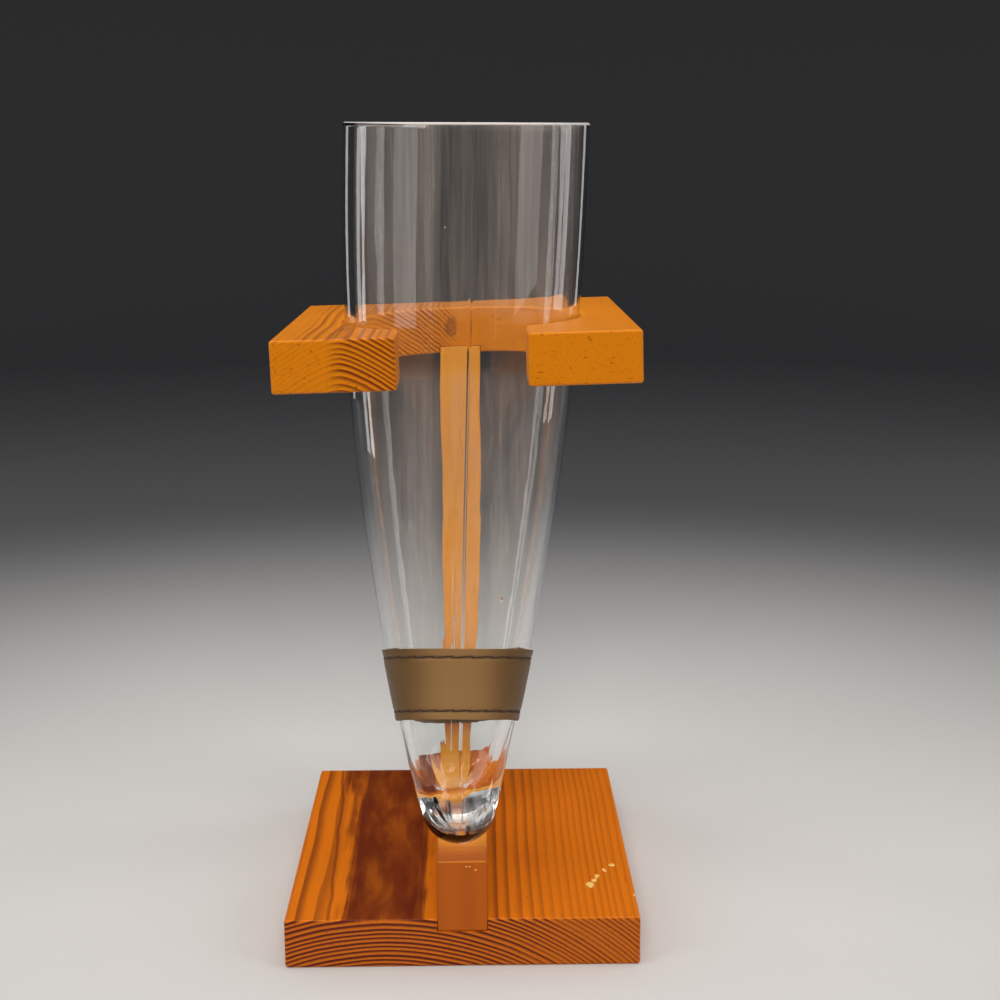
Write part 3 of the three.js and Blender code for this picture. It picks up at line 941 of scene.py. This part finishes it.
film = {  # patterns in cells a metre along X, Y and Z
    "streaks": (160.0, 160.0, 9.0), "ripple": (420.0, 420.0, 45.0),
    "wide": (110.0, 40.0, 7.0), "fine": (900.0, 300.0, 12.0),
    "wiped": (300.0, 120.0, 60.0),
    "share": 0.115,
    "tint": (0.88, 0.74, 0.64, 1),
    "lipMarks": 0.55,
    "lipTint": (0.95, 0.92, 0.89, 1),
    "relief": (0.00012, 0.35),
}


def glassFinish():
    look = Finish("hornGlass")
    place = look.place()
    spots = look.split(place)
    # a bubble in the front wall shows as a dark ring, and four seeds as bright specks, painted
    # glints drawn as white dots in the dull film
    bubble = look.vector("DISTANCE", place, flaws["bubble"]).other("Value")
    dent = look.smooth(bubble, 0, flaws["bubbleSize"])
    waves = look.cells(spots, film["streaks"]) + look.cells(spots, film["ripple"]) * 0.12
    clear = look.shader(
        Base_Color=(0.985, 0.995, 0.99, 1), Roughness=0.0, IOR=1.5, Transmission_Weight=1.0,
        Normal=look.bump(waves + dent * 9, *film["relief"]),
    )
    # painted glints of the four seeds
    specks = 0
    for seed in flaws["seeds"]:
        speck = look.vector("DISTANCE", place, seed).other("Value")
        specks = look.maths("MAXIMUM", specks, 1 - look.smooth(speck, 0, flaws["seedSize"]))
    # a thin dull film of wiping marks, mostly upright, and a whiter film over the lip
    wide = look.cells(spots, film["wide"], 3)
    fine = look.cells(spots, film["fine"], 3, 0.6)
    wiped = look.cells(spots, film["wiped"], 4, 0.6)
    marks = look.smooth(wide, 0.32, 0.68) * 0.45 + look.smooth(fine, 0.4, 0.72) * 0.45
    marks = marks + look.smooth(wiped, 0.5, 0.8) * 0.25 + 0.2
    thick = look.node("Attribute", {"attribute_name": "film"}, out="Fac")
    overLip = look.smooth(thick, 1, 2.5)
    marks = marks + (film["lipMarks"] - marks) * overLip
    dull = look.shader(Base_Color=look.blend(overLip, film["tint"], film["lipTint"]), Roughness=0.9)
    share = look.maths("MINIMUM", thick * marks * film["share"] + specks * 0.7, 1)
    return look.closeWith(look.node("MixShader", None, {0: share, 1: clear, 2: dull}))


def turnedOut(piece):
    # leaves the faces looking outwards; returns the volume
    mesh = piece.data
    mesh.calc_loop_triangles()
    points = np.array([vertex.co for vertex in mesh.vertices])
    corners = np.array([corner.vertices[:] for corner in mesh.loop_triangles])
    a, b, c = points[corners].swapaxes(0, 1)
    volume = float(np.einsum("ij,ij->i", a, np.cross(b, c)).sum() / 6)
    if volume < 0:
        mesh.flip_normals()
    return abs(volume)


def makeGlass():
    stations = hornStations()
    lines = [centreLine(distance) for distance, *_ in stations]
    centres = []
    for (distance, _, _, within, _), (y, z, _) in zip(stations, lines):
        shift = horn["unevenness"] * within * math.exp(-max(distance, 0) / horn["evenFrom"])
        centres.append((shift, y, z))
    piece = newPiece("horn", centres)
    tilts = np.array([tilt for *_, tilt in lines])
    zero, sine, cosine = np.zeros(len(tilts)), np.sin(tilts), np.cos(tilts)
    backs, tangents = np.column_stack((zero, cosine, -sine)), np.column_stack((zero, sine, cosine))
    for name, values in zip(stationAxes, (centres, backs, tangents)):
        attribute(piece, name, values)
    for column, name in enumerate(stationValues):
        attribute(piece, name, [station[column] for station in stations])
    material = glassFinish()
    grown(piece, ringTree(), {**glass, "material": material})
    piece.data.transform(hornTurn)
    volume = turnedOut(piece)
    print("glass grown,", len(piece.data.polygons), "faces,", round(volume * 1e6), "cm3")
    dress(piece, "horn_glass", "horn", material)
    piece.visible_shadow = False  # light goes on through clear glass


makeGlass()


# leather band and its stitches

band = {
    "start": 0.0363, "height": 0.0288,
    "gap": 0.0003, "thickness": 0.0012,
    "edgeRound": 0.0004, "stitchInset": 0.0035,
    "channelWidth": 0.001, "channelDepth": 0.00042,
    "holeDepth": 0.00035, "holeSize": 0.0006,
    "stitches": 24,
    "paintedHighlight": (-0.001, 0.004, 0.024),  # middle and edges of the painted highlight down the front
    "nick": (-0.0038, -0.0594, 0.103), "nickSize": 0.0008,
    "seam": 0.0006,
    "steps": 480, "rows": 72,
    "innerRows": 12, "edgeSteps": 5,
    "edgeWave": 0.00022, "faceWave": 0.00006,
    "sharpAngle": math.radians(50),
}

leather = {
    "coarse": 45.0, "tone": 260.0,
    "pores": 1700.0,
    "brown": (0.142, 0.072, 0.02, 1),
    "lighter": (0.172, 0.09, 0.026, 1),
    "pore": (0.06, 0.028, 0.009, 1),
    # the painted highlight's colour, then the painted shade of the band's sides
    "rubbed": (0.34, 0.19, 0.075, 1),
    "dark": (0.075, 0.038, 0.01, 1),
    # the painted shade in the stitch channel and its holes
    "groove": (0.03, 0.013, 0.005, 1),
    "nick": (0.022, 0.01, 0.004, 1),
    "relief": (0.00004, 0.4),
}

thread = {
    "radius": 0.00033,
    "share": 0.46,  # half a stitch, as a share of the way to the next
    "sink": 0.00032, "proud": 0.00012,
    "tilt": 6.0, "jitter": 3.0,
    "seed": 5,
    "dark": (0.026, 0.01, 0.004, 1),
    "light": (0.07, 0.03, 0.012, 1),
}

lacing = {
    "count": 9, "across": 0.0022,
    "margin": 0.0025, "proud": 0.0002,
    "own": {"reach": 0.00242, "tilt": 0.0, "jitter": 2.0, "seed": 3},
}

stitchRows = {
    "lower": band["start"] + band["stitchInset"],
    "upper": band["start"] + band["height"] - band["stitchInset"],
}
bandFace = band["gap"] + band["thickness"]


def holePull(distance, angle):
    # how far the stitches draw the leather in
    pull, width, size = 0.0, band["channelWidth"], band["holeSize"]
    pitch = 2 * math.pi / band["stitches"]
    for row in stitchRows.values():
        away = abs(distance - row)
        if away < 4 * width:
            pull += band["channelDepth"] * math.exp(-((away / width) ** 2))
            nearest = (math.floor(angle / pitch) + 0.5) * pitch
            around = (angle - nearest) * outerRadius(distance)
            pull += band["holeDepth"] * math.exp(-(around**2 + away**2) / size**2)
    return min(pull, 0.75 * band["thickness"])


def bandSection():
    # (share of the height, height over the glass) round the strip's section
    round_, height = band["edgeRound"], band["height"]
    inner = [(share, band["gap"]) for share in np.linspace(0, 1, band["innerRows"] + 1)]
    face = [
        (share, bandFace) for share in np.linspace(1, 0, band["rows"] + 1)[1:-1]
        if round_ < share * height < height - round_
    ]
    corner = [
        (round_ * (1 - math.cos(angle)) / height, bandFace - round_ * (1 - math.sin(angle)))
        for angle in np.radians(np.linspace(0, 90, band["edgeSteps"] + 1))
    ]
    return inner + [(1 - share, lift) for share, lift in corner] + face + corner[::-1]


def makeBand():
    section = bandSection()
    count, steps = len(section), band["steps"]
    halfSeam = band["seam"] / 2 / outerRadius(band["start"] + band["height"] / 2)
    start = math.pi / 2 + halfSeam
    points, grooves = [], []
    for angle in np.linspace(start, 3 * math.pi - start, steps + 1):
        x, y = math.cos(angle), math.sin(angle)
        edgeWave = noise.noise(Vector((x * 2.4, y * 2.4, 0.7)))
        lowWave = noise.noise(Vector((x * 2.8, y * 2.8, 5.7)))
        for share, lift in section:
            distance = band["start"] + share * band["height"]
            pull = 0
            if lift > band["gap"] + 1e-6:
                pull = holePull(distance, angle)
                wave = noise.noise(Vector((x * 5, y * 5, distance * 150)))
                lift += band["faceWave"] * wave - pull
            grooves.append(pull / band["channelDepth"])
            distance += band["edgeWave"] * (edgeWave * share + lowWave * (1 - share))
            points.append(hornPoint(distance, outerRadius(distance) + lift, angle))
    piece = newPiece("leather", points, solidFaces(steps + 1, count))
    # the stitch channel's depth, which the leather's colour darkens as painted shade
    attribute(piece, "groove", grooves)
    turnedOut(piece)
    piece.data.shade_smooth()
    piece.data.set_sharp_from_angle(angle=band["sharpAngle"])
    dress(piece, "leather_band", "horn", leatherFinish())


def leatherFinish():
    look = Finish("bandLeather")
    place = look.place()
    coarse = look.noise(place, leather["coarse"], 3)
    tone = look.noise(place, leather["tone"], 4, 0.6)
    settings = {"feature": "DISTANCE_TO_EDGE"}
    sockets = {"Vector": place, "Scale": leather["pores"], "Randomness": 1.0}
    grain = look.smooth(look.node("TexVoronoi", settings, sockets), 0, 0.25)
    x, y, _ = look.split(place)
    # a painted highlight down the middle of the front, and painted shade towards the band's sides
    middle, inner, outer = band["paintedHighlight"]
    away = abs(x - middle)
    paintedHighlight = (1 - look.smooth(away, inner, outer)) * look.smooth(y * -1, 0.02, 0.05)
    groove = look.node("Attribute", {"attribute_name": "groove"}, out="Fac")
    nick = look.vector("DISTANCE", place, band["nick"]).other("Value") + (tone - 0.5) * 0.001
    nick = 1 - look.smooth(nick, 0, band["nickSize"])
    colour = look.blend(look.smooth(coarse, 0.3, 0.7), leather["brown"], leather["lighter"])
    for share, shade in (
        ((1 - grain) * 0.12 + (tone - 0.5) * 0.22, "pore"),
        # the painted highlight, then the painted shade at the sides
        (paintedHighlight * 0.56, "rubbed"),
        (look.smooth(away, 0.01, 0.03) * 0.55, "dark"),
        # painted shade in the stitch channel and its holes
        (look.smooth(groove, 0.35, 1.6) * 0.85, "groove"),
        (nick * 0.8, "nick"),
    ):
        colour = look.blend(share, colour, leather[shade])
    height = grain * 0.5 + tone * 0.5 - nick * 4.0
    return look.close(
        Base_Color=colour, Roughness=coarse * 0.1 + 0.36, Specular_IOR_Level=0.25,
        Normal=look.bump(height, *leather["relief"]),
    )


def threadFinish():
    look = Finish("waxedThread")
    twist = look.noise(look.place(), 2600)
    colour = look.blend(look.smooth(twist, 0.35, 0.65), thread["dark"], thread["light"])
    normal = look.bump(twist, 0.0001, 0.6)
    return look.close(Base_Color=colour, Roughness=twist * 0.2 + 0.5, Normal=normal)


def stitchTree():
    # one bowed stitch on each point of a row, laid along the row and tipped a little
    graph, inputs = growTree("stitches", {
        "Float": ("reach", "radius", "sink", "tilt", "jitter"),
        "Int": ("seed",),
    })
    reach, sink, jitter = inputs["reach"], inputs["sink"], inputs["jitter"]
    bow = graph.node("CurveQuadraticBezier", None, {
        "Resolution": 12,
        "Start": graph.join(reach * -1, 0, sink * -1),
        "Middle": graph.join(0, 0, sink),
        "End": graph.join(reach, 0, sink * -1),
    })
    share = graph.node("SplineParameter")
    belly = graph.maths("SINE", share * math.pi)
    radius = inputs["radius"] * (graph.maths("POWER", belly, 0.35) * 0.6 + 0.4)
    ring = graph.node("CurvePrimitiveCircle", None, {"Resolution": 8, "Radius": 1})
    sockets = {"Curve": bow, "Profile Curve": ring, "Scale": radius, "Fill Caps": True}
    tube = graph.node("CurveToMesh", None, sockets)
    settings = {"data_type": "FLOAT_VECTOR"}
    ahead, out = (
        graph.node("InputNamedAttribute", settings, {"Name": name})
        for name in ("ahead", "out")
    )
    settings = {"primary_axis": "X", "secondary_axis": "Z"}
    turned = graph.node("FunctionNodeAxesToRotation", settings, {0: ahead, 1: out})
    sockets = {2: jitter * -1.0, 3: jitter, "Seed": inputs["seed"]}
    wild = graph.node("FunctionNodeRandomValue", None, sockets, out=1)
    tip = graph.join(0, 0, (inputs["tilt"] + wild) * (math.pi / 180))
    tip = graph.node("FunctionNodeEulerToRotation", None, {0: tip})
    settings = {"rotation_space": "LOCAL"}
    turned = graph.node("FunctionNodeRotateRotation", settings, {0: turned, 1: tip})
    points = graph.node("MeshToPoints", None, {0: inputs["Geometry"]})
    sockets = {"Points": points, "Instance": tube, "Rotation": turned}
    laid = graph.node("InstanceOnPoints", None, sockets)
    return endTree(graph, laid, inputs["material"])


def rowFrame(distance, angle, lift):
    # a place over the leather with its directions ahead, round the horn, and outwards
    place = hornPoint(distance, outerRadius(distance) + lift, angle)
    ahead = hornPoint(distance, outerRadius(distance) + lift, angle + 0.01) - place
    above = distance + 0.001
    up = hornPoint(above, outerRadius(above) + lift, angle) - place
    return place, ahead.normalized(), ahead.cross(up).normalized()


def sew(name, node, frames, own):
    piece = newPiece(name, [place for place, *_ in frames])
    attribute(piece, "ahead", [ahead for _, ahead, _ in frames])
    attribute(piece, "out", [out for *_, out in frames])
    grown(piece, stitches, {**thread, **own, "material": waxed})
    dress(piece, node, "horn", waxed)


def makeStitches():
    pitch = 2 * math.pi / band["stitches"]
    lift = bandFace - band["channelDepth"] + thread["proud"]
    rows = zip(stitchRows.items(), ("band_thread_bottom", "band_thread_top"))
    for (name, row), node in rows:
        frames = [rowFrame(row, turn * pitch, lift) for turn in range(band["stitches"])]
        reach = thread["share"] * pitch * outerRadius(row)
        sew(f"{name}_stitches", node, frames, {"reach": reach})


def makeLacing():
    # slanted stitches across the strip's closing seam at the back
    low, high = stitchRows["lower"] + lacing["margin"], stitchRows["upper"] - lacing["margin"]
    frames = []
    for lace in range(lacing["count"]):
        distance = low + (lace + 0.5) / lacing["count"] * (high - low)
        place, ahead, out = rowFrame(distance, math.pi / 2, bandFace + lacing["proud"])
        slant = 0.5 * (high - low) / lacing["count"] * (1 if lace % 2 else -1)
        ahead = ahead * lacing["across"] + out.cross(ahead) * slant
        frames.append((place, ahead.normalized(), out))
    sew("lacing", "band_thread_seam", frames, lacing["own"])


makeBand()
stitches = stitchTree()
waxed = threadFinish()
makeStitches()
makeLacing()
print("band sewn")


# screws and dowels, which keep their CAD shape

metal = {"steel": (0.62, 0.6, 0.56, 1), "worn": (0.42, 0.38, 0.32, 1)}
beech = {
    "flecks": (1500.0, 1500.0, 200.0),
    "light": (0.62, 0.44, 0.27, 1),
    "dark": (0.42, 0.26, 0.14, 1),
}


def steelFinish():
    look = Finish("screwSteel")
    scuff = look.noise(look.place(), 900, 4, 0.6)
    colour = look.blend(scuff * 0.6, metal["steel"], metal["worn"])
    normal = look.bump(scuff, 0.00003, 0.4)
    rough = scuff * 0.3 + 0.18
    return look.close(Base_Color=colour, Metallic=1, Roughness=rough, Normal=normal)


def dowelFinish():
    look = Finish("dowelBeech")
    fleck = look.cells(look.split(look.place()), beech["flecks"])
    colour = look.blend(look.smooth(fleck, 0.4, 0.7), beech["light"], beech["dark"])
    normal = look.bump(fleck, 0.00005, 0.5)
    return look.close(Base_Color=colour, Roughness=fleck * 0.2 + 0.6, Normal=normal)


def recolour(names, material):
    for name in names:
        nodes[name].data.materials.clear()
        nodes[name].data.materials.append(material)


recolour(("base_screw_front", "base_screw_rear"), steelFinish())
recolour(("yoke_dowel_front", "yoke_dowel_rear"), dowelFinish())

boxes = {"cad": cadBox, "visual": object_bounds()}
for key, box in boxes.items():
    boxes[key] = [[float(value) for value in corner] for corner in box]
